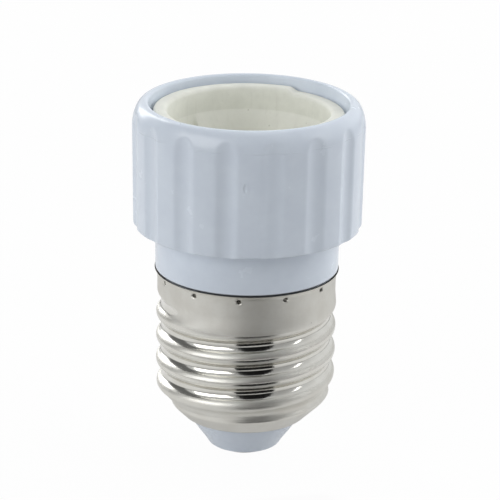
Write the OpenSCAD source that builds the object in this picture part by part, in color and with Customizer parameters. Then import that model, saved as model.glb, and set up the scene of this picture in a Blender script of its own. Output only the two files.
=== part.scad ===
// Lamp socket adapter: a large Edison screw base below, a two-pin twist-lock lamp socket above.
// The origin is at the centre of the end contact's lower face, with +Z up along the axis.
// The front of the adapter faces -Y.

/* [Collar and neck] */
// Wall of the collar around the insert's pocket
collar_wall = 3.3; // [2.4:0.05:4]
// Draft on each side of the collar, in degrees
collar_draft = 0.6; // [0:0.1:1.5]
// Height of the rounded shoulder
shoulder_h = 2.6; // [1.5:0.1:4]
// Radius of the rim's inner edge
lip_r = 0.45; // [0.3:0.05:0.6]
// Radius of the edge at the collar's foot
foot_r = 0.35; // [0.2:0.05:0.8]
// Width of the lead-in that opens the collar's bore towards the rim
lead_in_w = 1; // [0.6:0.1:1.2]
// Depth of that lead-in
lead_in_h = 2.2; // [1:0.1:4]
// Thickness of the ledge that carries the insert
ledge_t = 1.3; // [1:0.05:2]
// Number of flutes around the collar
flute_count = 16; // [8:1:24]
// Depth of a flute
flute_depth = 0.36; // [0.2:0.02:0.6]
// Radius of the round cutter that forms a flute
flute_r = 3.9; // [2.5:0.1:6]
// Turn of the flutes from the front, in degrees
flute_turn = 1.1; // [0:0.1:20]
// Height of the neck between the screw shell and the collar
neck_h = 6.65; // [5:0.05:9]
// Distance that the neck stands out over the screw shell's sleeve
neck_step = 0.35; // [0.2:0.05:0.8]
// Draft on each side of the neck, in degrees
neck_draft = 0.6; // [0:0.1:1.5]
// Wall of the spigot inside the screw shell's sleeve
spigot_wall = 1.8; // [1.4:0.1:2.4]

/* [Nose] */
// Distance that the end contact stands below the nose
contact_drop = 0.8; // [0.4:0.1:1.4]
// Clearance between the nose and the screw shell's open end
nose_gap = 0.27; // [0.1:0.01:1]
// Diameter of the flat end of the nose
nose_end_d = 9.7; // [9:0.1:11]
// Thickness of the nose's end wall
nose_wall = 2.6; // [1.8:0.1:3.4]
// Wall of the housing inside the thread
core_wall = 2.1; // [1.5:0.1:2.8]

/* [Screw shell] */
// Diameter over the crests of the thread
thread_d = 26.2; // [25.9:0.05:26.45]
// Pitch of the thread, seven turns to the inch
thread_pitch = 3.629; // [3.5:0.01:3.7]
// Depth of the thread
thread_depth = 1.05; // [0.8:0.05:1.15]
// Number of turns that the groove makes
thread_turns = 4.03; // [3.8:0.01:4.3]
// Length of each run-out of the groove, in turns
thread_fade = 0.24; // [0.1:0.02:0.4]
// Angle at which the groove starts, in degrees from +X
thread_start = 255; // [0:5:355]
// Height of the groove's lower end above the taper
thread_lead = 0.22; // [0:0.02:1]
// Thickness of the rolled sheet
shell_t = 0.3; // [0.2:0.05:0.4]
// Distance of the plain sleeve inside the crests
sleeve_inset = 0.15; // [0.1:0.05:0.4]
// Height of the shell's rim above the start of the groove
sleeve_h = 4.36; // [3.6:0.02:6]
// Flare of the upper rim, measured on the radius
rim_flare = 0.4; // [0.2:0.05:0.5]
// Distance of the taper's upper edge inside the crests
taper_inset = 1.2; // [0.9:0.05:1.6]
// Height of the taper
taper_h = 3.25; // [2.8:0.05:4]
// Width of the taper, measured on the radius
taper_w = 2.85; // [2:0.05:3.4]
// Height of the shell's open end above the end contact's face
shell_end_z = 5.75; // [5.2:0.05:6.4]
// Number of staking dents around the sleeve
dent_count = 12; // [6:1:16]
// Radius of a staking dent
dent_r = 0.38; // [0.25:0.01:0.5]
// Distance of the staking dents below the shell's rim
dent_drop = 0.9; // [0.7:0.05:1.5]
// Angle of the first staking dent, in degrees from the front
dent_turn = -4.5; // [-15:0.5:15]

/* [Ceramic insert] */
// Outer diameter of the insert
ceramic_d = 26; // [25.4:0.1:27]
// Distance of the insert's top below the rim
ceramic_drop = 1.27; // [0.5:0.01:3]
// Height of the insert
ceramic_h = 14.93; // [14.4:0.01:17]
// Wall of the insert around the recess that takes the lamp's base
ceramic_wall = 1.35; // [1:0.05:1.8]
// Depth of that recess
recess_h = 8.3; // [7:0.1:8.6]
// Depth at which the leaning tier of the recess starts
tier_drop = 3.5; // [2:0.1:5]
// Lean of the tier's wall, in degrees
tier_lean = 19; // [8:1:20]
// First angle of the tier at the back, in degrees from +X
tier_from = 23; // [10:1:40]
// Last angle of the tier at the back
tier_to = 133; // [110:1:150]
// Radius of the recess's upper edge
mouth_r = 0.6; // [0.3:0.05:0.7]
// Depth of the two lower stretches of the insert's rim
rim_step = 0.5; // [0.2:0.05:1]
// First angle of the lower stretch at the right
step_from = -2; // [-20:1:20]
// Last angle of that stretch
step_to = 60; // [40:1:80]
// Thickness of the recess's floor
floor_t = 2.3; // [2.1:0.1:2.6]

/* [Lamp pins] */
// Distance between the centres of the two lamp pins
pin_spacing = 10; // [9.6:0.1:10.4]
// Diameter of the entry holes for the heads of the pins
entry_d = 5.9; // [5.6:0.1:6.2]
// Width of the curved slots for the necks of the pins
slot_w = 3.4; // [3:0.1:3.8]
// Angle through which a lamp turns to lock
lock_turn = 42; // [36:1:46]

/* [Contacts and fixings] */
// Thickness of the contact strip
strip_t = 0.4; // [0.3:0.05:0.5]
// Length of a contact's jaws along the slot
jaw_l = 2.4; // [1.8:0.1:2.5]
// Gap between a contact's jaws at rest
jaw_gap = 4.6; // [4.2:0.1:5]
// Diameter of the contact rivets
rivet_d = 1.8; // [1.4:0.1:2]
// Diameter of the heads of the contact rivets
rivet_head_d = 2.8; // [2.4:0.1:3.2]
// Thickness of the washers under those heads
washer_t = 0.3; // [0.2:0.05:0.4]
// Diameter of the screws that hold the insert
screw_d = 2.5; // [2.2:0.1:2.8]
// Diameter of the heads of those screws
screw_head_d = 4.2; // [3.8:0.1:4.4]
// Length of those screws under their heads
screw_l = 12; // [11:0.5:13]
// Distance of those screws from the axis
screw_offset = 7.6; // [7.4:0.05:7.7]
// Angle of the first screw, in degrees from +X
screw_angle = 106; // [102:1:110]
// Thickness of the insulating disc
disc_t = 0.8; // [0.5:0.1:1.2]
// Diameter of the end contact
contact_d = 7.2; // [6.4:0.1:8]
// Diameter of the end contact's shank
shank_d = 3.2; // [2.8:0.1:3.6]
// Bore of the end contact
contact_bore_d = 1.9; // [1.5:0.1:2.1]

/* [Leads] */
// Diameter of the bare copper conductor
core_d = 1; // [0.8:0.05:1.1]
// Outer diameter of the insulating sleeving
sleeving_d = 2; // [1.8:0.1:2.4]
// Height of the hole through which one lead reaches the screw shell, above the groove's start
side_hole_rise = 1.15; // [0.8:0.05:1.6]

/* [Clearances] */
// Clearance around the ceramic insert in its pocket
pocket_gap = 0.3; // [0.1:0.05:0.5]
// Clearance between the screw shell and the housing inside it
shell_gap = 0.06; // [0.03:0.01:0.15]
// Clearance of screws, rivets and shanks in their holes
fit_gap = 0.04; // [0.02:0.01:0.1]
// Clearance of screws in the insert and the disc
loose_gap = 0.2; // [0.1:0.05:0.3]
// Clearance of the conductor in its crimp and its sleeving
wire_gap = 0.06; // [0.03:0.01:0.1]

/* [Hidden] */
$fn = 96;
eps = 0.01;
bore_fn = 48;
contact_fn = 72;

// Heights, from the end contact's face upwards
nose_z = contact_drop;
taper_z = shell_end_z + taper_h;
full_r_z = taper_z + thread_pitch;
thread_start_z = taper_z + thread_lead + thread_turns * thread_pitch;
core_top_z = thread_start_z + thread_pitch / 2;
side_hole_z = thread_start_z + side_hole_rise;
shell_top_z = thread_start_z + sleeve_h;
collar_z = shell_top_z + neck_h;
ledge_z = collar_z + ledge_t;
insert_z = ledge_z + disc_t;
insert_top_z = insert_z + ceramic_h;
total_h = insert_top_z + ceramic_drop;
floor_z = insert_top_z - recess_h;
ceiling_z = floor_z - floor_t;

// Radii of the housing and the shell
crest_r = thread_d / 2;
sleeve_r = crest_r - sleeve_inset;
taper_r = crest_r - taper_inset;
shell_end_r = taper_r - taper_w;
pocket_r = ceramic_d / 2 + pocket_gap;
mouth_in_r = pocket_r + lead_in_w;
crown_r = mouth_in_r + lip_r;
collar_r = pocket_r + collar_wall;
shoulder_w = collar_r - crown_r;
collar_foot_r = collar_r - (total_h - shoulder_h - collar_z) * tan(collar_draft);
neck_r = sleeve_r + neck_step;
neck_foot_r = neck_r - neck_h * tan(neck_draft);
spigot_r = sleeve_r - shell_t - shell_gap;
neck_bore_r = spigot_r - spigot_wall;
core_r = crest_r - thread_depth - shell_t - shell_gap;
core_bore_r = core_r - core_wall;
skin_gap = (shell_t + shell_gap) * sqrt(1 + pow(taper_w / taper_h, 2));
nose_r = shell_end_r - skin_gap - nose_gap;

// Lamp pins, contacts and their fixings
lock_r = pin_spacing / 2;
entry_x = lock_r * cos(lock_turn);
entry_y = lock_r * sin(lock_turn);
room_in_x = 1.1;
room_out_x = 9;
room_front_y = -5.1;
room_back_y = entry_y + entry_d / 2;
jaw_x = lock_r;
jaw_back_y = 0.3;
jaw_mid_y = jaw_back_y - jaw_l / 2;
jaw_floor_z = insert_z + 0.5;
tab_w = 1.0;
rivet_x = 7.4;
rivet_y = -3.5;
rivet_pad_r = 1.45;
rivet_well_r = rivet_head_d / 2 + 0.5;
rivet_well_h = 1.2;
rivet_head_h = 0.7;
rivet_tail_h = 0.5;
rivet_tail_d = rivet_d + 0.7;
screw_well_r = screw_head_d / 2 + loose_gap;
screw_well_h = 2;
screw_head_h = 1.5;
boss_r = screw_d / 2 + 1.35;
boss_h = screw_l - (floor_z - screw_well_h - ledge_z) + 2;
tag_x = 2.2;
tag_w = 2.2;
crimp_h = 3;
crimp_top_z = ledge_z - 1.6;
crimp_in_r = core_d / 2 + wire_gap;
crimp_out_r = crimp_in_r + strip_t;
crimp_x = tag_x + strip_t / 2 + crimp_in_r;

// Points on a circular arc from angle a0 to a1 about (cx, cy)
function arc(cx, cy, rx, ry, a0, a1, n) =
    [for (i = [0:n]) let (a = a0 + (a1 - a0) * i / n) [cx + rx * cos(a), cy + ry * sin(a)]];

function unit(v) = v / norm(v);
function smooth(t) = let (c = min(max(t, 0), 1)) c * c * (3 - 2 * c);

// A straight-sided sector from angle a0 to a1, standing on z = 0
module sector(a0, a1, r, h) {
    linear_extrude(h) polygon(concat([[0, 0]], arc(0, 0, r, r, a0, a1, ceil((a1 - a0) / 15))));
}

// Copies at 0 and 180 degrees about the axis
module both_sides() {
    for (turn = [0, 180]) rotate(turn) children();
}

// Outer line of the housing, from the end of the nose up to the rim
function housing_outside() = concat(
    [[0, nose_z], [nose_end_d / 2 - 0.2, nose_z], [nose_end_d / 2 + 0.2, nose_z + 0.3]],
    [[nose_r, shell_end_z], [taper_r - skin_gap - thread_depth, taper_z]],
    [[crest_r - shoulder_in - skin_gap - thread_depth, shoulder_z], [core_r, full_r_z]],
    [[core_r, core_top_z], [spigot_r, core_top_z + 0.4]],
    [[spigot_r, shell_top_z], [neck_foot_r, shell_top_z], [neck_r, collar_z]],
    arc(collar_foot_r - foot_r, collar_z + foot_r, foot_r, foot_r, -90, 0, 4),
    arc(crown_r, total_h - shoulder_h, shoulder_w, shoulder_h, 0, 90, 10));

// Inner line of the housing, from the rim down to the bore of the end contact's shank
function housing_inside() = concat(
    arc(crown_r, total_h - lip_r, lip_r, lip_r, 100, 180, 4),
    [[pocket_r, total_h - lead_in_h], [pocket_r, ledge_z], [neck_bore_r, ledge_z]],
    [[neck_bore_r, shell_top_z], [core_bore_r, core_top_z + 0.2], [core_bore_r, taper_z + 2.2]],
    [[shank_d / 2 + 2.2, nose_z + nose_wall + 0.8], [shank_d / 2 + 1.6, nose_z + nose_wall]],
    [[0, nose_z + nose_wall]]);

// A flute's cutter, which leans with the collar's draft
module flute() {
    flute_l = total_h - collar_z;
    translate([collar_r - flute_depth + flute_r, 0, total_h - shoulder_h])
        rotate([0, collar_draft, 0])
            translate([0, 0, -flute_l]) cylinder(r = flute_r, h = 2 * flute_l, $fn = bore_fn);
}

// One-piece moulded housing: fluted collar, neck, spigot inside the screw shell, and nose
module housing() {
    color("lightsteelblue") difference() {
        union() {
            rotate_extrude() polygon(concat(housing_outside(), housing_inside()));
            intersection() {
                both_sides() rotate(screw_angle) translate([screw_offset, 0, ledge_z - boss_h]) {
                    cylinder(r = boss_r, h = boss_h, $fn = bore_fn);
                    translate([0, -boss_r, 0]) cube([neck_r, 2 * boss_r, boss_h]);
                }
                cylinder(r = neck_bore_r + 1, h = total_h);
            }
        }
        for (i = [0:flute_count - 1]) rotate(-90 + flute_turn + (i + 0.5) * 360 / flute_count) flute();
        both_sides() rotate(screw_angle) translate([screw_offset, 0, ledge_z - boss_h - eps])
            cylinder(d = screw_d + 2 * fit_gap, h = boss_h + 1, $fn = bore_fn);
        translate([0, 0, nose_z - eps])
            cylinder(d = shank_d + 2 * fit_gap, h = nose_wall + 1, $fn = bore_fn);
        side_lead_channel();
    }
}

// Hole and groove that take the bare end of one lead out to the screw shell
module side_lead_channel() {
    channel_r = core_d / 2 + wire_gap;
    translate([neck_bore_r / 2, jaw_mid_y, side_hole_z]) rotate([0, 90, 0])
        cylinder(r = channel_r, h = side_end_x - neck_bore_r / 2, $fn = bore_fn);
    translate([side_end_x, jaw_mid_y, side_hole_z - channel_r])
        cylinder(r = channel_r, h = shell_top_z - side_hole_z, $fn = bore_fn);
    translate([side_end_x - bend_r, jaw_mid_y - channel_r, side_hole_z])
        cube([bend_r, 2 * channel_r, bend_r]);
    translate([side_end_x, jaw_mid_y - channel_r, side_hole_z - channel_r])
        cube([spigot_r, 2 * channel_r, shell_top_z - side_hole_z]);
}

// Walls of the insert; the recess's wall leans inwards below the tier's edge
outer_r = ceramic_d / 2;
inner_r = outer_r - ceramic_wall;
tier_foot_r = inner_r - (recess_h - tier_drop) * tan(tier_lean);

// Steatite insert: a cup for the lamp's base over two rooms for the contacts
module ceramic_insert() {
    color("ivory") difference() {
        rotate_extrude() polygon(concat(
            [[0, insert_z], [outer_r - 0.3, insert_z], [outer_r, insert_z + 0.3]],
            [[outer_r, insert_top_z - 0.3], [outer_r - 0.3, insert_top_z]],
            arc(inner_r + mouth_r, insert_top_z - mouth_r, mouth_r, mouth_r, 90, 180, 5),
            [[inner_r, insert_top_z - tier_drop], [tier_foot_r, floor_z], [0, floor_z]]));
        both_sides() {
            intersection() {
                translate([0, 0, floor_z]) cylinder(r = inner_r, h = recess_h - mouth_r);
                translate([0, 0, floor_z - 1]) sector(tier_to - 180, tier_from, 2 * outer_r, ceramic_h);
            }
            translate([0, 0, insert_top_z - rim_step])
                sector(step_from, step_to, 2 * outer_r, 1 + rim_step);
            translate([room_in_x, room_front_y, insert_z - eps])
                cube([room_out_x - room_in_x, room_back_y - room_front_y, ceiling_z - insert_z + eps]);
            pin_keyhole();
            translate([rivet_x, rivet_y, ceiling_z - 1])
                cylinder(d = rivet_d + 2 * fit_gap, h = floor_t + 2, $fn = bore_fn);
            translate([rivet_x, rivet_y, floor_z - rivet_well_h])
                cylinder(r = rivet_well_r, h = rivet_well_h + 1, $fn = bore_fn);
            rotate(screw_angle) translate([screw_offset, 0, insert_z - 1]) {
                cylinder(d = screw_d + 2 * loose_gap, h = ceramic_h, $fn = bore_fn);
                translate([0, 0, floor_z - screw_well_h - insert_z + 1])
                    cylinder(r = screw_well_r, h = screw_well_h + 1, $fn = bore_fn);
            }
        }
    }
}

// Keyhole through the recess's floor: a round entry and a curved slot about the axis
module pin_keyhole() {
    depth = floor_t + 2;
    translate([0, 0, ceiling_z - 1]) {
        translate([entry_x, entry_y, 0]) cylinder(d = entry_d, h = depth, $fn = bore_fn);
        translate([lock_r, 0, 0]) cylinder(d = slot_w, h = depth, $fn = bore_fn);
        intersection() {
            difference() {
                cylinder(r = lock_r + slot_w / 2, h = depth);
                translate([0, 0, -1]) cylinder(r = lock_r - slot_w / 2, h = depth + 2);
            }
            sector(0, lock_turn, 2 * lock_r, depth);
        }
    }
}

// A bent strip of sheet: its centre line pts, thickened by t with mitred corners
function strip_side(pts, t, side) = [for (i = [0:len(pts) - 1])
    let (a = unit(pts[min(i + 1, len(pts) - 1)] - pts[min(i, len(pts) - 2)]),
         b = unit(pts[max(i, 1)] - pts[max(i - 1, 0)]),
         n = unit([-a.y - b.y, a.x + b.x]))
    pts[i] + side * t / 2 / (n * [-a.y, a.x]) * n];
function flipped(v) = [for (i = [len(v) - 1:-1:0]) v[i]];
function strip(pts, t) = concat(strip_side(pts, t, 1), flipped(strip_side(pts, t, -1)));

// Contact at the right: sprung jaws, a riveted pad, and a tag with a crimp for the lead
module contact() {
    jaw = jaw_gap / 2 + strip_t / 2;
    jaw_z = ceiling_z - jaw_floor_z - strip_t;
    pad_z = jaw_z + strip_t / 2;
    tab_x = room_out_x - jaw_x - tab_w;
    line = [[-jaw - 0.5, jaw_z * 0.85], [-jaw, jaw_z * 0.6], [-jaw - 0.4, jaw_z * 0.3],
            [-jaw - 0.15, strip_t / 2], [jaw + 0.15, strip_t / 2], [jaw + 0.4, jaw_z * 0.3],
            [jaw, jaw_z * 0.6], [tab_x, pad_z], [tab_x + tab_w * 0.6, pad_z]];
    color("goldenrod") {
        translate([jaw_x, jaw_back_y, jaw_floor_z]) rotate([90, 0, 0])
            linear_extrude(jaw_l) polygon(strip(line, strip_t));
        translate([0, 0, ceiling_z - strip_t]) difference() {
            union() {
                translate([rivet_x, rivet_y, 0]) cylinder(r = rivet_pad_r, h = strip_t, $fn = bore_fn);
                translate([jaw_x + tab_x, rivet_y, 0]) cube([tab_w * 0.6, jaw_back_y - rivet_y, strip_t]);
            }
            translate([rivet_x, rivet_y, -1]) cylinder(d = rivet_d + 2 * fit_gap, h = 2, $fn = bore_fn);
        }
        difference() {
            union() {
                translate([tag_x - strip_t / 2, jaw_mid_y - tag_w / 2, crimp_top_z - crimp_h])
                    cube([strip_t, tag_w, jaw_floor_z + strip_t - crimp_top_z + crimp_h]);
                translate([crimp_x, jaw_mid_y, crimp_top_z - crimp_h])
                    cylinder(r = crimp_out_r, h = crimp_h, $fn = bore_fn);
            }
            translate([crimp_x, jaw_mid_y, crimp_top_z - crimp_h - 1])
                cylinder(r = crimp_in_r, h = crimp_h + 2, $fn = bore_fn);
        }
    }
}
module contact_right() { contact(); }
module contact_left() { rotate(180) contact(); }

// Rivet that clinches a contact's pad to the underside of the recess's floor
module rivet() {
    seat_z = floor_z - rivet_well_h + washer_t;
    tail_z = ceiling_z - strip_t;
    shank_l = seat_z - tail_z + rivet_tail_h;
    color("silver") translate([rivet_x, rivet_y, tail_z - rivet_tail_h]) {
        cylinder(d = rivet_d, h = shank_l, $fn = bore_fn);
        translate([0, 0, shank_l]) cylinder(d = rivet_head_d, h = rivet_head_h, $fn = bore_fn);
        cylinder(d = rivet_tail_d, h = rivet_tail_h, $fn = bore_fn);
    }
}
module rivet_right() { rivet(); }
module rivet_left() { rotate(180) rivet(); }

// Washer between a rivet's head and the ceramic
module rivet_washer() {
    color("gainsboro") translate([rivet_x, rivet_y, floor_z - rivet_well_h]) difference() {
        cylinder(r = rivet_well_r - 0.15, h = washer_t, $fn = bore_fn);
        translate([0, 0, -1]) cylinder(d = rivet_d + 2 * fit_gap, h = 2, $fn = bore_fn);
    }
}
module rivet_washer_right() { rivet_washer(); }
module rivet_washer_left() { rotate(180) rivet_washer(); }

// Disc that keeps the contacts off the wiring space below
module insulating_disc() {
    window_w = 2.6;
    color("tan") translate([0, 0, ledge_z]) difference() {
        cylinder(r = ceramic_d / 2, h = disc_t);
        both_sides() {
            translate([tag_x - strip_t / 2 - loose_gap, jaw_mid_y - window_w / 2, -1])
                cube([window_w, window_w, disc_t + 2]);
            rotate(screw_angle) translate([screw_offset, 0, -1])
                cylinder(d = screw_d + 2 * loose_gap, h = disc_t + 2, $fn = bore_fn);
        }
    }
}

// Self-tapping screw that holds the insert down on the housing's bosses
module insert_screw() {
    seat_z = floor_z - screw_well_h;
    head_z = seat_z + screw_head_h;
    tip_h = 1.6;
    head_r = 0.9;
    cross_l = screw_head_d * 0.64;
    cross_w = 0.7;
    color("silver") rotate(screw_angle) translate([screw_offset, 0, 0]) difference() {
        rotate_extrude($fn = bore_fn) polygon(concat(
            [[0, seat_z - screw_l], [screw_d / 2, seat_z - screw_l + tip_h], [screw_d / 2, seat_z]],
            [[screw_head_d / 2, seat_z]],
            arc(screw_head_d / 2 - head_r, head_z - head_r, head_r, head_r, 0, 90, 4),
            [[0, head_z]]));
        for (turn = [0, 90]) rotate(turn) translate([-cross_l / 2, -cross_w / 2, head_z - head_r])
            cube([cross_l, cross_w, 2]);
    }
}
module insert_screw_back() { insert_screw(); }
module insert_screw_front() { rotate(180) insert_screw(); }

// Cubic curve through four control points, at t from 0 to 1
function bezier(p, t) = let (s = 1 - t)
    s * s * s * p[0] + 3 * s * s * t * p[1] + 3 * s * t * t * p[2] + t * t * t * p[3];
function curve(p, n) = [for (i = [0:n]) bezier(p, i / n)];

// A tube along pts, with a ring of sides points at each; bore 0 gives a solid wire
ring_sides = 12;
function tangent(pts, i) = unit(pts[min(i + 1, len(pts) - 1)] - pts[max(i - 1, 0)]);
function ring(pts, r) = [for (i = [0:len(pts) - 1])
    let (t = tangent(pts, i), u = unit(cross([0, 1, 0], t)), v = cross(t, u))
    for (k = [0:ring_sides - 1]) let (a = 360 * k / ring_sides) pts[i] + r * (cos(a) * u + sin(a) * v)];
function skin(n, shift, inward) = [for (i = [0:n - 2]) for (k = [0:ring_sides - 1])
    let (a = shift + i * ring_sides + k, b = shift + i * ring_sides + (k + 1) % ring_sides,
         quad = [a, b, b + ring_sides, a + ring_sides])
    inward ? quad : flipped(quad)];
function end_faces(first, last, flip) = [
    flip ? [for (k = [0:ring_sides - 1]) first + k] : flipped([for (k = [0:ring_sides - 1]) first + k]),
    flip ? flipped([for (k = [0:ring_sides - 1]) last + k]) : [for (k = [0:ring_sides - 1]) last + k]];
function end_rings(a, b, flip) = [for (k = [0:ring_sides - 1]) let (m = (k + 1) % ring_sides,
    quad = [a + k, a + m, b + m, b + k]) flip ? flipped(quad) : quad];

module wire(pts, r) {
    n = len(pts);
    polyhedron(points = ring(pts, r), faces = concat(skin(n, 0, false),
        end_faces(0, (n - 1) * ring_sides, true)), convexity = 6);
}
module tube(pts, r, bore) {
    n = len(pts);
    inner = n * ring_sides;
    last = (n - 1) * ring_sides;
    polyhedron(points = concat(ring(pts, r), ring(pts, bore)), faces = concat(
        skin(n, 0, false), skin(n, inner, true),
        end_rings(0, inner, false), end_rings(last, inner + last, true)), convexity = 8);
}

// Route of the lead to the end contact, from the crimp down to the solder
lead_top_z = crimp_top_z - 0.2;
solder_top_z = nose_z + nose_wall + 0.3;
centre_route = [[-crimp_x, -jaw_mid_y, lead_top_z], [-crimp_x, -jaw_mid_y, lead_top_z / 2],
                [0, 0, lead_top_z / 2], [0, 0, solder_top_z + wire_gap]];
centre_line = curve(centre_route, 24);

// Route of the lead to the screw shell: down, out through the side hole, and up the groove
side_end_x = spigot_r - core_d / 2;
bend_r = 1.2;
side_route = [[crimp_x, jaw_mid_y, lead_top_z], [crimp_x, jaw_mid_y, side_hole_z],
              [crimp_x + 1, jaw_mid_y, side_hole_z], [core_bore_r - 0.6, jaw_mid_y, side_hole_z]];
side_line = curve(side_route, 20);
side_bend = arc(side_end_x - bend_r, side_hole_z + bend_r, bend_r, bend_r, -90, 0, 6);
side_tail = concat([for (p = side_bend) [p.x, jaw_mid_y, p.y]], [[side_end_x, jaw_mid_y, shell_top_z - 0.8]]);

// Bare ends that the sleeving leaves free, counted in points of each route
module lead_centre_core() { color("peru") wire(centre_line, core_d / 2); }
module lead_shell_core() { color("peru") wire(concat(side_line, side_tail), core_d / 2); }
module lead_centre_sleeving() {
    color("white") tube([for (i = [5:21]) centre_line[i]], sleeving_d / 2, core_d / 2 + wire_gap);
}
module lead_shell_sleeving() {
    color("white") tube([for (i = [7:18]) side_line[i]], sleeving_d / 2, core_d / 2 + wire_gap);
}

// Heights of the shell's rows: the rim, the sleeve, the thread in even steps, and the taper
row_count = 46;
thread_low_z = taper_z - 0.4;
sleeve_low_z = thread_start_z + thread_pitch / 4;
function shell_rows() = concat(
    [shell_end_z, (shell_end_z + thread_low_z) / 2],
    [for (i = [0:row_count]) thread_low_z + (sleeve_low_z - thread_low_z) * i / row_count]);

// Radius of the shell before the groove is rolled into it
shoulder_z = taper_z + 1.3;
shoulder_in = 0.35;
shape_line = [[shell_end_z, shell_end_r], [taper_z, taper_r], [shoulder_z, crest_r - shoulder_in],
              [full_r_z, crest_r], [thread_start_z - 0.8, crest_r], [sleeve_low_z, sleeve_r]];
function shape_r(z) = lookup(z, shape_line);

// Depth of the groove at angle a and height z, with its run-outs along the helix
function groove(a, z) =
    let (turn = ((thread_start - a) % 360 + 360) % 360 / 360,
         w = (thread_start_z - z) / thread_pitch - turn,
         k = round(w), along = k + turn, off = w - k,
         fade = smooth(along / thread_fade) * smooth((thread_turns - along) / thread_fade))
    along < 0 || along > thread_turns ? 0 : fade * thread_depth * (1 + cos(360 * off)) / 2;

// The sheet thins a little where it meets the plain sleeve, so that the sleeve takes it in
shell_sides = 48;
sleeve_lap = 0.3;
function thinning(z) = lookup(z, [[sleeve_low_z - 2 * sleeve_lap, 0], [sleeve_low_z - sleeve_lap, 0.05]]);
function shell_point(a, z, inside) = let (
    t = thinning(z),
    r = shape_r(z) - groove(a, z) - (inside ? shell_t - t : t)) [r * cos(a), r * sin(a), z];
function shell_grid(rows, inside) = [for (z = rows) for (k = [0:shell_sides - 1])
    shell_point(360 * k / shell_sides, z, inside)];
function grid_faces(n, shift, inward) = [for (i = [0:n - 2]) for (k = [0:shell_sides - 1])
    let (a = shift + i * shell_sides + k, b = shift + i * shell_sides + (k + 1) % shell_sides,
         c = b + shell_sides, d = a + shell_sides)
    each inward ? [[a, b, c], [a, c, d]] : [[c, b, a], [d, c, a]]];
function rim_faces(a0, b0, flip) = [for (k = [0:shell_sides - 1]) let (m = (k + 1) % shell_sides,
    a = a0 + k, b = a0 + m, c = b0 + m, d = b0 + k)
    each flip ? [[a, b, c], [a, c, d]] : [[c, b, a], [d, c, a]]];

// Rolled and plated screw shell, with a flared rim, staking dents and an open tapered end
module screw_shell() {
    rows = shell_rows();
    n = len(rows);
    inner = n * shell_sides;
    last = (n - 1) * shell_sides;
    color("gainsboro") difference() {
        union() {
            polyhedron(points = concat(shell_grid(rows, false), shell_grid(rows, true)),
                faces = concat(grid_faces(n, 0, false), grid_faces(n, inner, true),
                    rim_faces(0, inner, true), rim_faces(last, inner + last, false)), convexity = 10);
            rotate_extrude() polygon([
                [sleeve_r - shell_t, sleeve_low_z - sleeve_lap], [sleeve_r, sleeve_low_z - sleeve_lap],
                [sleeve_r, shell_top_z - 0.7], [sleeve_r + rim_flare, shell_top_z - 0.05],
                [sleeve_r + rim_flare - 0.05, shell_top_z], [sleeve_r - shell_t, shell_top_z]]);
        }
        for (i = [0:dent_count - 1]) rotate(-90 + dent_turn + i * 360 / dent_count)
            translate([sleeve_r + dent_r * 0.4, 0, shell_top_z - dent_drop]) sphere(r = dent_r, $fn = 24);
    }
}

// End contact: a button with a shank, clinched inside the nose
module end_contact() {
    edge = 0.3;
    clinch_h = 0.5;
    inner_z = nose_z + nose_wall;
    color("gold") rotate_extrude($fn = contact_fn) polygon([
        [contact_bore_d / 2, 0], [contact_d / 2 - edge, 0], [contact_d / 2, edge], [contact_d / 2, nose_z],
        [shank_d / 2, nose_z], [shank_d / 2, inner_z], [shank_d / 2 + 0.6, inner_z],
        [shank_d / 2 + 0.6, inner_z + clinch_h], [contact_bore_d / 2, inner_z + clinch_h]]);
}

// Solder that fills the end contact's bore and holds the lead
module end_solder() {
    low_z = 0.15;
    color("lightgray") translate([0, 0, low_z])
        cylinder(d = contact_bore_d, h = solder_top_z - low_z, $fn = contact_fn);
}

housing();
ceramic_insert();
contact_left();
contact_right();
rivet_left();
rivet_right();
rivet_washer_left();
rivet_washer_right();
insulating_disc();
insert_screw_back();
insert_screw_front();
lead_centre_core();
lead_centre_sleeving();
lead_shell_core();
lead_shell_sleeving();
screw_shell();
end_contact();
end_solder();
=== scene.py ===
import math

import bmesh
import bpy
from mathutils import Matrix, Vector, noise


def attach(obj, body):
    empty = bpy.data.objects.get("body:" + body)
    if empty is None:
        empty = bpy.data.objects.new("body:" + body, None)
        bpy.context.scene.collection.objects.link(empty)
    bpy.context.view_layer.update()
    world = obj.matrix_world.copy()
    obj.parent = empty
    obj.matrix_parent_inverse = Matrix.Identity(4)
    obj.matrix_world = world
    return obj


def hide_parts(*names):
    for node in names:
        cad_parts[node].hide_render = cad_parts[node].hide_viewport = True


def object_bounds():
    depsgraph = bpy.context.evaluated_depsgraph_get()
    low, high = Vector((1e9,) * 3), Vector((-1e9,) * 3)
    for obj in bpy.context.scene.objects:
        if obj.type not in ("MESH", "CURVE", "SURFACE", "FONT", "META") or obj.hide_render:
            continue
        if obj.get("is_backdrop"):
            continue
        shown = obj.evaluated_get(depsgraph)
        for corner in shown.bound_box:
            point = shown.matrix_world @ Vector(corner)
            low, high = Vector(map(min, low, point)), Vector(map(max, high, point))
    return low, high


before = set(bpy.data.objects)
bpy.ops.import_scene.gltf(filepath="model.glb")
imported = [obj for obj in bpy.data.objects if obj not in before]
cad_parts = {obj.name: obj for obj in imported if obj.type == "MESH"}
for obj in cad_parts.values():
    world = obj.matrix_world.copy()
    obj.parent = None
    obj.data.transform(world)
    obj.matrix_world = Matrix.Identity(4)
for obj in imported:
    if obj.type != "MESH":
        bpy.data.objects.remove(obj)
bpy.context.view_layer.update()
mm = 0.001

# The studio for a small catalogue piece: a white sweep in a pale room, a large softbox at the
# left, a narrow strip and a fill at the right, and a box behind on each side. The camera looks
# down by about 19 degrees.
scene = bpy.context.scene
scene.view_settings.view_transform = "Standard"

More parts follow.
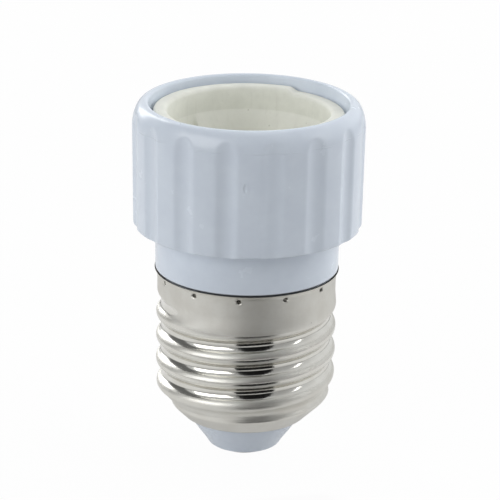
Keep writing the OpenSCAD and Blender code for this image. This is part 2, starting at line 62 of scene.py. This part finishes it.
camera = bpy.data.objects.new("camera", bpy.data.cameras.new("camera"))
scene.collection.objects.link(camera)
look_down, roll = math.radians(19.4), math.radians(0.95)
camera.matrix_world = (
    Matrix.Translation(Vector((0.44, -330.13, 146.83)) * mm)
    @ Matrix.Rotation(math.pi / 2 - look_down, 4, "X")
    @ Matrix.Rotation(roll, 4, "Z")
)
camera.data.lens = 174.2
camera.data.sensor_width = 36
camera.data.clip_start = 0.01
scene.camera = camera


class Socket:
    """An output of a material's node tree. Arithmetic on it adds Math nodes, and make() adds any other node."""

    def __init__(self, tree, socket=None):
        self.tree = tree
        self.socket = socket

    def make(self, kind, settings=None, sockets=None, output=0):
        node = self.tree.nodes.new("ShaderNode" + kind)
        for name, value in (settings or {}).items():
            if name == "stops":
                for i, (at, colour) in enumerate(value):
                    stop = node.color_ramp.elements[i] if i < 2 else node.color_ramp.elements.new(at)
                    stop.position, stop.color = at, colour
            else:
                setattr(node, name, value)
        for name, value in (sockets or {}).items():
            if isinstance(value, Socket):
                self.tree.links.new(value.socket, node.inputs[name])
            else:
                node.inputs[name].default_value = value
        return Socket(self.tree, node.outputs[output]) if node.outputs else None

    def maths(self, operation, other=0.0):
        return self.make("Math", {"operation": operation}, {0: self, 1: other})

    def __add__(self, other):
        return self.maths("ADD", other)

    def __sub__(self, other):
        return self.maths("SUBTRACT", other)

    def __mul__(self, other):
        return self.maths("MULTIPLY", other)

    def __truediv__(self, other):
        return self.maths("DIVIDE", other)

    def __rsub__(self, other):
        return self.make("Math", {"operation": "SUBTRACT"}, {0: other, 1: self})

    def __rtruediv__(self, other):
        return self.make("Math", {"operation": "DIVIDE"}, {0: other, 1: self})

    __radd__ = __add__
    __rmul__ = __mul__

    def rise(self, low, high):
        """0 below low and 1 above high, with a smooth rise between them. low may be above high."""
        return self.make("MapRange", {"interpolation_type": "SMOOTHSTEP"},
                         {"Value": self, "From Min": low, "From Max": high, "To Min": 0.0, "To Max": 1.0})

    def tint(self, low, high):
        """The colour low where this is 0, and high where it is 1."""
        return self.make("Mix", {"data_type": "RGBA"}, {0: self, 6: (*low, 1), 7: (*high, 1)}, output=2)


def new_finish(name):
    """A new material, its node tree as a Socket, and the three Object coordinates of the surface."""
    material = bpy.data.materials.new(name)
    material.use_nodes = True
    material.node_tree.nodes.clear()
    tree = Socket(material.node_tree)
    place = tree.make("TexCoord", output="Object")
    axes = [tree.make("SeparateXYZ", None, {0: place}, output=i) for i in range(3)]
    return material, tree, place, axes


def srgb(red, green, blue):
    """A colour written as a screen shows it, from 0 to 255, as the linear values that a shader takes."""
    return tuple(c / 3294.6 if c <= 10 else ((c / 255 + 0.055) / 1.055) ** 2.4 for c in (red, green, blue))


def link(name, bm, smooth_angle=40):
    """Turns a bmesh into a piece at the origin, smooth but for its edges sharper than smooth_angle."""
    mesh = bpy.data.meshes.new(name)
    bm.to_mesh(mesh)
    bm.free()
    mesh.shade_smooth()
    mesh.set_sharp_from_angle(angle=math.radians(smooth_angle))
    piece = bpy.data.objects.new(name, mesh)
    scene.collection.objects.link(piece)
    return piece


def surface(tree, shader):
    tree.make("OutputMaterial", None, {"Surface": shader})


def lamp(name, bearing, rise, far, width, height, brightness, in_gloss=True):
    """A softbox seen from the adapter at a bearing from the front, to the right, and a rise, both in degrees.

    One that isn't in_gloss lights the adapter without being seen in its metal and glaze.
    """
    light = bpy.data.lights.new(name, "AREA")
    light.shape = "RECTANGLE"
    light.size, light.size_y = width, height
    light.energy = brightness * math.pi * width * height
    softbox = bpy.data.objects.new(name, light)
    scene.collection.objects.link(softbox)
    turn, lift = math.radians(bearing), math.radians(rise)
    away = Vector((math.sin(turn) * math.cos(lift), -math.cos(turn) * math.cos(lift), math.sin(lift)))
    softbox.location = away * far + Vector((0, 0, 30)) * mm
    softbox.rotation_euler = away.to_track_quat("Z", "Y").to_euler()
    softbox.visible_glossy = in_gloss


# The sweep is white to the lens with a faint shadow, in gloss a glow with painted shade, and clear from below.
bm = bmesh.new()
bmesh.ops.create_grid(bm, x_segments=2, y_segments=2, size=3.0)
floor = link("floor", bm)
pale, tree, place, (x, y, z) = new_finish("pale_floor")
to_lens = tree.make("LightPath", output="Is Camera Ray")
to_gloss = tree.make("LightPath", output="Is Glossy Ray")
# Its colour for light is painted darker towards the front: painted shade where less light falls.
paper_painted_front_shade = y.rise(-0.03, -0.30).tint((0.70, 0.70, 0.70), (0.26, 0.26, 0.26))
card = tree.make("BsdfDiffuse", None, {"Color": paper_painted_front_shade})
white = tree.make("Emission", None, {"Color": (1, 1, 1, 1), "Strength": 1.0})
# To gloss the sweep glows: a painted reflection, darker in front and far out, with a painted shadow under the adapter.
distance = (x * x + y * y).maths("SQRT")
under = 0.72 + distance.rise(0.008, 0.024) * 0.28
painted_gloss_shade = under * (0.50 + y.rise(-0.060, -0.010) * 0.32) * (1 - distance.rise(0.16, 0.50) * 0.72)
painted_gloss_glow = tree.make("Emission", None, {"Color": painted_gloss_shade.tint((0, 0, 0), (1, 1, 1)), "Strength": 1.0})
to_glass = tree.make("LightPath", output="Is Transmission Ray")
seen = tree.make("MixShader", None, {0: to_lens.maths("MAXIMUM", to_glass) * 0.97, 1: card, 2: white})
lit = tree.make("MixShader", None, {0: to_gloss, 1: seen, 2: painted_gloss_glow})
from_below = tree.make("NewGeometry", output="Backfacing")
surface(tree, tree.make("MixShader", None, {0: from_below, 1: lit, 2: tree.make("BsdfTransparent")}))
floor.data.materials.append(pale)
floor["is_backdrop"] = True

# A matt black card lies in front, out of the picture, under the camera.
bm = bmesh.new()
near, far = 0.021, 0.064
corners = [(math.sin(math.radians(t)) * d, -math.cos(math.radians(t)) * d, 0.0006)
           for t, d in ((-12, near), (-10, far), (36, far), (36, near))]
bm.faces.new([bm.verts.new(corner) for corner in corners])
black_card = link("black_card", bm)
black_card.visible_camera = False
black, tree, place, axes = new_finish("matt_black")
surface(tree, tree.make("BsdfDiffuse", None, {"Color": (0.015, 0.015, 0.015, 1)}))
black_card.data.materials.append(black)
black_card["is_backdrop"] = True

# White room, dark where the photographer stands and in the gap behind the left softbox.
world = bpy.data.worlds.new("room")
scene.world = world
world.use_nodes = True
world.node_tree.nodes.clear()
room = Socket(world.node_tree)
to_lens = room.make("LightPath", output="Is Camera Ray")
to_glass = room.make("LightPath", output="Is Transmission Ray")
ray = room.make("TexCoord", output="Generated")
x, y, z = (room.make("SeparateXYZ", None, {0: ray}, output=i) for i in range(3))
around = (x.maths("ARCTAN2", y * -1.0)) * (180 / math.pi)
up = z.maths("ARCSINE") * (180 / math.pi)
front = y.rise(0.55, -0.75) * up.rise(85.0, 55.0)
person = around.rise(-16.0, -9.0) * around.rise(37.0, 35.5) * up.rise(80.0, 62.0)
gap = around.rise(-132.0, -122.0) * around.rise(-84.0, -92.0) * up.rise(75.0, 55.0)
level = (0.82 - front * 0.42) * (1 - person * 0.98) * (1 - gap * 0.80)
air = room.make("Background", None, {"Color": level.tint((0, 0, 0), (0.98, 0.99, 1.0)), "Strength": 1.0})
white = room.make("Background", None, {"Color": (1, 1, 1, 1), "Strength": 1.0})
room.make("OutputWorld", None, {"Surface": room.make("MixShader", None, {0: to_lens.maths("MAXIMUM", to_glass), 1: air, 2: white})})

lamp("left_softbox", -49, 22, 1.1, 1.00, 0.70, 2.25)
lamp("right_strip", 76, 24, 1.1, 0.10, 0.60, 2.8)
lamp("right_fill", 84, 26, 1.1, 0.60, 0.80, 1.9, in_gloss=False)
lamp("back_left_box", -142, 26, 1.1, 0.35, 0.80, 3.5)
lamp("back_right_box", 134, 26, 1.1, 0.50, 0.80, 2.9, in_gloss=False)

# One moulding in glossy bluish-white plastic: a fluted collar with a rounded shoulder, a plain
# neck, the spigot that carries the screw shell, and the blunt cone of the nose below it.
total_h, collar_z, collar_r, collar_foot_r = 52.95, 34.85, 16.6, 16.442
pocket_r, crown_r, shoulder_h = 13.3, 14.75, 3.5
flute_depth, flute_cut_r, flute_turn, flute_blend = 0.43, 3.5, 1.1, 0.07
flute_pitch = 360 / 16
screw_bearing = 106


def bow(cx, cz, rx, rz, first, last, steps):
    """Points on an arc in the plane of a profile, as distance from the axis and height."""
    turns = [math.radians(first + (last - first) * i / steps) for i in range(steps + 1)]
    return [(cx + rx * math.cos(t), cz + rz * math.sin(t)) for t in turns]


def spun(profile, steps, closed=True):
    """A bmesh with the profile turned once about the axis. Its points are in millimetres."""
    bm = bmesh.new()
    verts = [bm.verts.new((r * mm, 0, z * mm)) for r, z in profile]
    edges = [bm.edges.new(pair) for pair in zip(verts, verts[1:] + verts[:1] if closed else verts[1:])]
    bmesh.ops.spin(bm, geom=verts + edges, cent=(0, 0, 0), axis=(0, 0, 1), dvec=(0, 0, 0),
                   angle=2 * math.pi, steps=steps, use_merge=True, use_normal_flip=False, use_duplicate=False)
    bmesh.ops.remove_doubles(bm, verts=bm.verts, dist=0.0005 * mm)
    bmesh.ops.recalc_face_normals(bm, faces=bm.faces)
    return bm


def bearing(v):
    """Angle of a point about the axis in degrees, from +X."""
    return math.degrees(math.atan2(v.co.y, v.co.x)) % 360


def set_radius(v, r):
    """Moves a point straight out from the axis, or in, to the radius r in millimetres."""
    turn = math.atan2(v.co.y, v.co.x)
    v.co.x, v.co.y = r * mm * math.cos(turn), r * mm * math.sin(turn)


def blended_min(a, b, k):
    """The lower of a and b, with the corner between them rounded over about k."""
    h = max(0.0, min(1.0, 0.5 + 0.5 * (b - a) / k))
    return b + (a - b) * h - k * h * (1 - h)


housing_line = (
    [(1.64, 0.8), (4.4, 0.8)] + bow(4.75, 1.5, 0.75, 0.7, -80, -20, 6)
    + [(5.75, 1.75), (6.6, 2.9), (8.62, 5.8), (10.89, 9.0), (11.44, 10.3), (11.69, 12.6)]
    + [(11.69, 25.66), (12.59, 26.06), (12.59, 28.1)]
    + [(12.9, 28.2), (12.95, 28.50), (13.2, 28.52), (13.235, 28.40), (13.26, 31), (13.29, 34.4), (13.38, 34.72), (13.55, 34.85)]
    + bow(collar_foot_r - 0.4, collar_z + 0.4, 0.4, 0.4, -90, 0, 6)
    + [(collar_foot_r + (collar_r - collar_foot_r) * t, collar_z + 0.4 + (total_h - shoulder_h - collar_z - 0.4) * t)
       for t in (0.1, 0.3, 0.5, 0.7, 0.85, 0.95)]
    + bow(crown_r, total_h - shoulder_h, collar_r - crown_r, shoulder_h, 0, 90, 22)
    + bow(crown_r, total_h - 0.45, 0.45, 0.45, 105, 180, 6)
    + [(14.24, 52.0), (14.08, 51.2), (13.9, 50.5), (13.72, 50.1), (pocket_r, 49.7), (pocket_r, 42), (pocket_r, 36.15), (10.79, 36.15), (10.79, 28.2), (9.59, 25.86)]
    + [(9.59, 11.2), (3.8, 4.2), (3.2, 3.4), (1.64, 3.4)]
)
bm = spun(housing_line, 320)
flute_centre_r = collar_r - flute_depth + flute_cut_r
for v in bm.verts:
    r, z = math.hypot(v.co.x, v.co.y) / mm, v.co.z / mm
    if z > collar_z - 0.01 and r > 14.76:
        off = math.radians((bearing(v) + 90 - flute_turn) % flute_pitch - flute_pitch / 2)
        lean = (total_h - shoulder_h - z) * math.tan(math.radians(0.6))
        reach = flute_cut_r ** 2 - (flute_centre_r * math.sin(off)) ** 2
        if reach > 0:
            cut = flute_centre_r * math.cos(off) - math.sqrt(reach) - lean
            set_radius(v, blended_min(r, cut, flute_blend))
for turn in (screw_bearing, screw_bearing + 180):
    spot = Matrix.Rotation(math.radians(turn), 4, "Z") @ Matrix.Translation(Vector((7.6, 0, 31.865)) * mm)
    bmesh.ops.create_cone(bm, cap_ends=True, segments=48, radius1=2.6 * mm, radius2=2.6 * mm,
                          depth=8.57 * mm, matrix=spot)
housing = link("moulded_housing", bm, 50)

plastic, tree, place, (x, y, z) = new_finish("bluish_white_plastic")
grain = tree.make("TexNoise", None, {"Vector": place, "Scale": 2600.0, "Detail": 3.0, "Roughness": 0.6})
swell = tree.make("TexNoise", None, {"Vector": place, "Scale": 95.0, "Detail": 2.0, "Roughness": 0.5})
cloud = tree.make("TexNoise", None, {"Vector": place, "Scale": 260.0, "Detail": 4.0, "Roughness": 0.6})
specks = tree.make("TexVoronoi", {"feature": "F1"}, {"Vector": place, "Scale": 210.0, "Randomness": 1.0})
speck = specks.rise(0.030, 0.018)
gate_x, gate_z = (x + 0.00031) / 0.00036, (z - 0.0452) / 0.00085
gate = (gate_x * gate_x + gate_z * gate_z).maths("SQRT")
front = y.rise(-0.0155, -0.0160)
gate_ring = gate.rise(1.8, 1.05) * gate.rise(0.35, 0.95) * front
gate_dip = gate.rise(0.9, 0.3) * front
witness = (z - 0.05005).maths("ABSOLUTE").rise(0.00009, 0.00002) * cloud.rise(0.42, 0.56)
height = grain * 0.10 + swell * 5.0 + gate_ring * 3.0 - gate_dip * 6.0 + witness * 3.0
relief = tree.make("Bump", None, {"Height": height, "Strength": 1.0, "Distance": 0.00001})
tone = cloud.rise(0.30, 0.72).tint(srgb(214, 223, 235), srgb(219, 228, 239))
tone = tree.make("Mix", {"data_type": "RGBA"}, {0: speck * 0.55, 6: tone, 7: (*srgb(120, 122, 126), 1)}, output=2)
# A dark band at the foot of the neck: painted shade of the gap above the shell, with some grime.
gap_shade_and_grime = z.rise(0.02856, 0.02842) * z.rise(0.0279, 0.0280)
tone = tree.make("Mix", {"data_type": "RGBA"}, {0: gap_shade_and_grime * 0.85, 6: tone, 7: (*srgb(46, 44, 42), 1)}, output=2)
surface(tree, tree.make("BsdfPrincipled", None, {
    "Base Color": tone, "Roughness": 0.22 + cloud * 0.08, "Normal": relief, "IOR": 1.52,
    "Coat Weight": 0.15, "Coat Roughness": 0.10}))
housing.data.materials.append(plastic)
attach(housing, "root")
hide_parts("housing")

# A pressed and fired steatite cup, unglazed: it takes the end of a lamp's base, its wall leans
# in to a tier on two sides, and its floor has two keyholes, two rivet wells and two screw wells.
insert_z, insert_top_z, floor_z = 36.95, 51.88, 43.58
tier_z, tier_lean = 48.38, math.tan(math.radians(19))
ceramic_line = (
    [(0, insert_z), (6, insert_z), (12.6, insert_z), (13.0, insert_z + 0.4), (13.0, 44), (13.0, 49.5), (13.5, 50.1), (13.58, 50.4)]
    + bow(13.32, insert_top_z - 0.28, 0.28, 0.28, 0, 90, 5)
    + bow(12.3, insert_top_z - 0.62, 0.62, 0.62, 90, 180, 8)
    + [(11.66, 50.6), (11.65, 49.4), (11.65, 48.62), (11.65, tier_z), (11.65, 48.2), (11.65, 47.6), (11.65, 46.4)]
    + [(11.65, 45), (11.65, 44.2), (11.62, 43.86), (11.5, 43.66), (11.2, floor_z), (9, floor_z), (5, floor_z), (0, floor_z)]
)
bm = spun(ceramic_line, 360, closed=False)


def soft_step(t):
    t = max(0.0, min(1.0, t))
    return t * t * (3 - 2 * t)


for v in bm.verts:
    r, z, turn = math.hypot(v.co.x, v.co.y) / mm, v.co.z / mm, bearing(v) % 180
    if 43.4 < z < tier_z + 0.01 and 11.1 < r < 11.7:
        share = soft_step((turn - 22.3) / 1.2) * soft_step((133.7 - turn) / 1.2)
        set_radius(v, r - share * (tier_z - z) * tier_lean)
    if z > 50.5:
        wrap = (bearing(v) + 40) % 360 - 40
        share = soft_step((wrap + 5.2) / 4.6) * soft_step((64 - wrap) / 6.5)
        v.co.z -= 0.5 * mm * share * soft_step((z - 50.5) / 0.8)
    if z > 51.0:
        wander = noise.noise(v.co * 900) * 0.02 + noise.noise(v.co * 2600) * 0.012
        v.co.z += wander * mm - 0.02 * mm
ceramic = link("ceramic_cup", bm, 50)


def cut_from(piece, bm):
    """Takes the closed bmesh out of the piece."""
    bmesh.ops.recalc_face_normals(bm, faces=bm.faces)
    tool = link("tool", bm)
    carve = piece.modifiers.new("carve", "BOOLEAN")
    carve.object, carve.operation, carve.solver = tool, "DIFFERENCE", "EXACT"
    graph = bpy.context.evaluated_depsgraph_get()
    carved = bpy.data.meshes.new_from_object(piece.evaluated_get(graph))
    piece.modifiers.clear()
    piece.data = carved
    bpy.data.objects.remove(tool)


def drill(bm, x, y, low, high, r, turn):
    """A round cutter from low to high, turned about the insert's axis."""
    turned = Matrix.Rotation(math.radians(turn), 4, "Z")
    spot = turned @ Matrix.Translation(Vector((x, y, (low + high) / 2)) * mm)
    bmesh.ops.create_cone(bm, cap_ends=True, segments=64, radius1=r * mm, radius2=r * mm,
                          depth=(high - low) * mm, matrix=spot)


pin_r, pin_turn = 5.0, 42.0
entry = (pin_r * math.cos(math.radians(pin_turn)), pin_r * math.sin(math.radians(pin_turn)))
for turn in (0, 180):
    turned = Matrix.Rotation(math.radians(turn), 4, "Z")
    bm = bmesh.new()
    room_box = Matrix.Translation(Vector((5.05, 0.598, 39.015)) * mm) @ Matrix.Diagonal(Vector((7.9, 11.396, 4.53, 1)))
    bmesh.ops.create_cube(bm, size=mm, matrix=turned @ room_box)
    cut_from(ceramic, bm)
    for at, r in ((entry, 2.95), ((pin_r, 0), 1.7)):
        bm = bmesh.new()
        drill(bm, at[0], at[1], 40, 44.2, r, turn)
        cut_from(ceramic, bm)
    bm = bmesh.new()
    bmesh.ops.create_grid(bm, x_segments=1, y_segments=1, size=mm / 2, matrix=turned
                          @ Matrix.Translation(Vector((pin_r, 0, 42.1)) * mm)
                          @ Matrix.Rotation(math.pi / 2, 4, "X") @ Matrix.Diagonal(Vector((3.4, 4.2, 1, 1))))
    bmesh.ops.spin(bm, geom=bm.faces[:] + bm.edges[:] + bm.verts[:], cent=(0, 0, 0), axis=(0, 0, 1), dvec=(0, 0, 0),
                   angle=math.radians(pin_turn), steps=28, use_merge=False, use_normal_flip=False, use_duplicate=False)
    bmesh.ops.remove_doubles(bm, verts=bm.verts, dist=0.0005 * mm)
    cut_from(ceramic, bm)
    for x, y, low, high, r in ((7.4, -3.5, 39, 45, 0.94), (7.4, -3.5, 42.38, 45, 1.9)):
        bm = bmesh.new()
        drill(bm, x, y, low, high, r, turn)
        cut_from(ceramic, bm)
    for low, high, r in ((34, 45, 1.45), (41.58, 45, 2.3)):
        bm = bmesh.new()
        drill(bm, 7.6, 0, low, high, r, turn + screw_bearing)
        cut_from(ceramic, bm)
ceramic.data.shade_smooth()
ceramic.data.set_sharp_from_angle(angle=math.radians(38))

steatite, tree, place, (x, y, z) = new_finish("unglazed_steatite")
grit = tree.make("TexNoise", None, {"Vector": place, "Scale": 3800.0, "Detail": 4.0, "Roughness": 0.65})
cloud = tree.make("TexNoise", None, {"Vector": place, "Scale": 420.0, "Detail": 4.0, "Roughness": 0.6})
drawn = tree.make("VectorMath", {"operation": "MULTIPLY"}, {0: place, 1: (1.0, 1.0, 0.06)})
draw_marks = tree.make("TexNoise", None, {"Vector": drawn, "Scale": 1100.0, "Detail": 3.0, "Roughness": 0.6})
pits = tree.make("TexVoronoi", {"feature": "F1"}, {"Vector": place, "Scale": 900.0, "Randomness": 1.0})
pit = pits.rise(0.16, 0.06) * cloud.rise(0.50, 0.62)
# The tier is painted lighter: painted light on the face that tips up towards the lamps.
painted_tier_light = z.rise(0.04850, 0.04838) * 0.40
wall = z.rise(0.0513, 0.0508) * z.rise(0.0434, 0.0438)
height = grit * 0.5 + cloud * 1.6 + draw_marks * wall * 0.9 - pit * 1.6
relief = tree.make("Bump", None, {"Height": height, "Strength": 1.0, "Distance": 0.00002})
tone = cloud.rise(0.30, 0.72).tint(srgb(224, 225, 216), srgb(232, 233, 224))
tone = tree.make("Mix", {"data_type": "RGBA"}, {0: painted_tier_light, 6: tone, 7: (*srgb(243, 243, 236), 1)}, output=2)
tone = tree.make("Mix", {"data_type": "RGBA"}, {0: pit * 0.35 + draw_marks.rise(0.55, 0.75) * wall * 0.10,
                                               6: tone, 7: (*srgb(168, 166, 154), 1)}, output=2)
surface(tree, tree.make("BsdfPrincipled", None, {
    "Base Color": tone, "Roughness": 0.46 + grit * 0.16, "Normal": relief, "IOR": 1.5}))
ceramic.data.materials.clear()
ceramic.data.materials.append(steatite)
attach(ceramic, "root")
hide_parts("ceramic_insert")

# Thin brass sheet, drawn and rolled to a right-hand knuckle thread and nickel-plated. Its plain
# sleeve is staked to the housing by small punch marks under a flared rim, and it tapers below.
pitch, thread_depth, crest_r, thread_turns, thread_fade = 3.629, 1.05, 13.1, 4.5, 0.24
thread_start, thread_start_z, thread_run_out, sleeve_r, shell_t = 255, 23.84, 0.6, 12.95, 0.3
knuckle_r = (pitch ** 2 / 4 + thread_depth ** 2) / (4 * thread_depth)
shape_line = [(5.8, 9.25), (9.0, 12.45), (10.3, 13.0), (12.63, 13.1), (23.05, 13.1), (24.757, 12.95), (30, 12.95)]


def plain_radius(z):
    """Radius of the shell at a height before its thread is rolled."""
    for (z0, r0), (z1, r1) in zip(shape_line, shape_line[1:]):
        if z <= z1:
            return r0 + (r1 - r0) * max(0.0, (z - z0) / (z1 - z0))
    return shape_line[-1][1]


def groove(turn, z):
    """Depth of the rolled groove, with its run-outs along the helix."""
    turn = (thread_start - turn) % 360 / 360
    w = (thread_start_z - z) / pitch - turn
    k = round(w)
    along = k + turn
    if not 0 <= along <= thread_turns:
        return 0.0
    fade = soft_step(along / thread_fade) * soft_step((thread_turns - along) / thread_run_out)
    off = abs(w - k) * pitch
    if off < pitch / 4:
        return fade * (thread_depth - knuckle_r + math.sqrt(knuckle_r ** 2 - off ** 2))
    return fade * (knuckle_r - math.sqrt(knuckle_r ** 2 - (pitch / 2 - off) ** 2))


taper_rows = [5.8 + 0.02 + 0.25 * i for i in range(13)]
thread_rows = [9.0 + 0.14 * i for i in range(114)]
outer_rows = taper_rows + thread_rows + [25.1 + 0.3 * i for i in range(6)] + [26.85 + 0.09 * i for i in range(9)]
inner_rows = [26.8, 26.0, 25.2] + [24.7 - 0.27 * i for i in range(58)] + [8.4, 7.2, 6.2]
rim_line = [(12.97, 27.62), (13.03, 27.75), (13.12, 27.88), (13.22, 28.0), (13.31, 28.1), (13.345, 28.16),
            (13.33, 28.2), (13.25, 28.2), (13.08, 28.08), (12.94, 27.94), (12.82, 27.8), (12.72, 27.6), (12.66, 27.3)]
shell_line = ([(plain_radius(z), z) for z in outer_rows] + rim_line
              + [(plain_radius(z) - shell_t, z) for z in inner_rows]
              + [(plain_radius(5.9) - shell_t, 5.88), (plain_radius(5.8) - 0.2, 5.8), (plain_radius(5.8) - 0.06, 5.8)])
bm = spun(shell_line, 384)
dents = [(-90 - 4.5 + 30 * i) % 360 for i in range(12)]
for v in bm.verts:
    r, z, turn = math.hypot(v.co.x, v.co.y) / mm, v.co.z / mm, bearing(v)
    if z < 25.9:
        wave = noise.noise(v.co * 160) * 0.012 + noise.noise(v.co * 420) * 0.006
        set_radius(v, r - groove(turn, z) + wave)
    elif 26.8 < z < 27.75 and r > 12.8:
        away = min(abs((turn - d + 180) % 360 - 180) for d in dents)
        side, up = math.radians(away) * sleeve_r, z - 27.3
        reach = math.hypot(side, up)
        push = 0.40 * max(0.0, 1 - (reach / 0.38) ** 2) - 0.035 * math.exp(-((reach - 0.45) / 0.10) ** 2)
        set_radius(v, r - push)
shell = link("rolled_shell", bm, 45)

nickel, tree, place, (x, y, z) = new_finish("nickel_plate")
combed = tree.make("VectorMath", {"operation": "MULTIPLY"}, {0: place, 1: (1.0, 1.0, 0.05)})
comb = tree.make("TexNoise", None, {"Vector": combed, "Scale": 2600.0, "Detail": 3.0, "Roughness": 0.7})
turned_marks = tree.make("VectorMath", {"operation": "MULTIPLY"}, {0: place, 1: (0.03, 0.03, 1.0)})
lathe = tree.make("TexNoise", None, {"Vector": turned_marks, "Scale": 3200.0, "Detail": 3.0, "Roughness": 0.7})
peel = tree.make("TexNoise", None, {"Vector": place, "Scale": 3000.0, "Detail": 3.0, "Roughness": 0.6})
cloud = tree.make("TexNoise", None, {"Vector": place, "Scale": 330.0, "Detail": 4.0, "Roughness": 0.6})
specks = tree.make("TexVoronoi", {"feature": "F1"}, {"Vector": place, "Scale": 320.0, "Randomness": 1.0})
speck = specks.rise(0.045, 0.025)
sleeve = z.rise(0.0236, 0.0252)
taper = z.rise(0.0092, 0.0080)
radius = (x * x + y * y).maths("SQRT")
root = radius.rise(0.01275, 0.01258) * z.rise(0.0110, 0.0118)
height = comb * sleeve * 0.9 + lathe * (taper * 0.8 + 0.15) + peel * 0.55 - speck * 1.2
relief = tree.make("Bump", None, {"Height": height, "Strength": 1.0, "Distance": 0.00001})
tone = cloud.rise(0.30, 0.72).tint(srgb(221, 219, 212), srgb(229, 228, 222))
# The punch marks are painted dark brown, and the top of the rim is painted dark: painted shade of the gap under the
# neck, with the dark cut edge of the sheet.
dent = radius.rise(0.01291, 0.01280) * z.rise(0.02680, 0.02686) * z.rise(0.02775, 0.02769)
lip = z.rise(0.02813, 0.02817)
tone = tree.make("Mix", {"data_type": "RGBA"}, {0: (speck * 0.8).maths("MAXIMUM", (dent + lip) * 0.82),
                                               6: tone, 7: (*srgb(70, 66, 58), 1)}, output=2)
worn_crest = radius.rise(0.01306, 0.01309) * z.rise(0.0226, 0.0220) * z.rise(0.0105, 0.0110)
rough = 0.44 + sleeve * 0.04 - root * 0.34 - worn_crest * 0.26 - taper * 0.10 - dent * 0.2 + cloud * 0.05
surface(tree, tree.make("BsdfPrincipled", None, {
    "Base Color": tone, "Metallic": 1.0, "Roughness": rough, "Normal": relief}))
shell.data.materials.append(nickel)
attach(shell, "root")
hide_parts("screw_shell")


# Stamped brass clips under the recess's floor, clinched by nickel-plated rivets and washers, two
# plated self-tapping screws that hold the insert down, and the button that ends the screw base.
def metal(name, low, high, metallic, rough, grain_scale, nodes):
    """A bare or plated metal with fine scratches, and its node objects that wear it."""
    material, tree, place, axes = new_finish(name)
    cloud = tree.make("TexNoise", None, {"Vector": place, "Scale": 700.0, "Detail": 4.0, "Roughness": 0.6})
    drawn = tree.make("VectorMath", {"operation": "MULTIPLY"}, {0: place, 1: (1.0, 0.08, 1.0)})
    grain = tree.make("TexNoise", None, {"Vector": drawn, "Scale": grain_scale, "Detail": 3.0, "Roughness": 0.6})
    relief = tree.make("Bump", None, {"Height": grain, "Strength": 0.6, "Distance": 0.00002})
    surface(tree, tree.make("BsdfPrincipled", None, {
        "Base Color": cloud.rise(0.32, 0.70).tint(low, high), "Metallic": metallic,
        "Roughness": rough + cloud * 0.15, "Normal": relief}))
    for node in nodes:
        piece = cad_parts[node]
        piece.data.materials.clear()
        piece.data.materials.append(material)


metal("contact_brass", srgb(196, 164, 98), srgb(214, 184, 118), 1.0, 0.26, 2400.0,
      ["contact_left", "contact_right"])
metal("plated_steel", srgb(196, 196, 193), srgb(212, 212, 209), 1.0, 0.24, 2800.0,
      ["rivet_left", "rivet_right", "rivet_washer_left", "rivet_washer_right", "insert_screw_back", "insert_screw_front",
       "end_contact"])
metal("solder", srgb(172, 174, 178), srgb(190, 191, 194), 1.0, 0.38, 1500.0, ["end_solder"])
metal("copper_wire", srgb(190, 118, 82), srgb(206, 136, 98), 1.0, 0.32, 2600.0, ["lead_centre_core", "lead_shell_core"])

# A punched disc of pressed fibre closes the insert's rooms from below, and a braided glass sleeve
# covers each lead between its crimp and the bare end that is soldered or trapped.
fibre, tree, place, axes = new_finish("pressed_fibre")
mat = tree.make("TexNoise", None, {"Vector": place, "Scale": 1300.0, "Detail": 5.0, "Roughness": 0.7})
relief = tree.make("Bump", None, {"Height": mat, "Strength": 0.8, "Distance": 0.00005})
surface(tree, tree.make("BsdfPrincipled", None, {
    "Base Color": mat.rise(0.35, 0.66).tint(srgb(168, 150, 122), srgb(190, 172, 142)),
    "Roughness": 0.75 + mat * 0.2, "Normal": relief}))
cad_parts["insulating_disc"].data.materials.clear()
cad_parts["insulating_disc"].data.materials.append(fibre)

braid, tree, place, (x, y, z) = new_finish("glass_braid")
across = ((x * 5200.0 + z * 5200.0).maths("SINE") * (x * 5200.0 - z * 5200.0 + y * 2600.0).maths("SINE"))
relief = tree.make("Bump", None, {"Height": across, "Strength": 0.8, "Distance": 0.00006})
surface(tree, tree.make("BsdfPrincipled", None, {
    "Base Color": across.rise(-0.8, 0.8).tint(srgb(214, 212, 202), srgb(238, 237, 229)),
    "Roughness": 0.7 + across * 0.08, "Normal": relief}))
for node in ("lead_centre_sleeving", "lead_shell_sleeving"):
    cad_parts[node].data.materials.clear()
    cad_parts[node].data.materials.append(braid)

low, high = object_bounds()
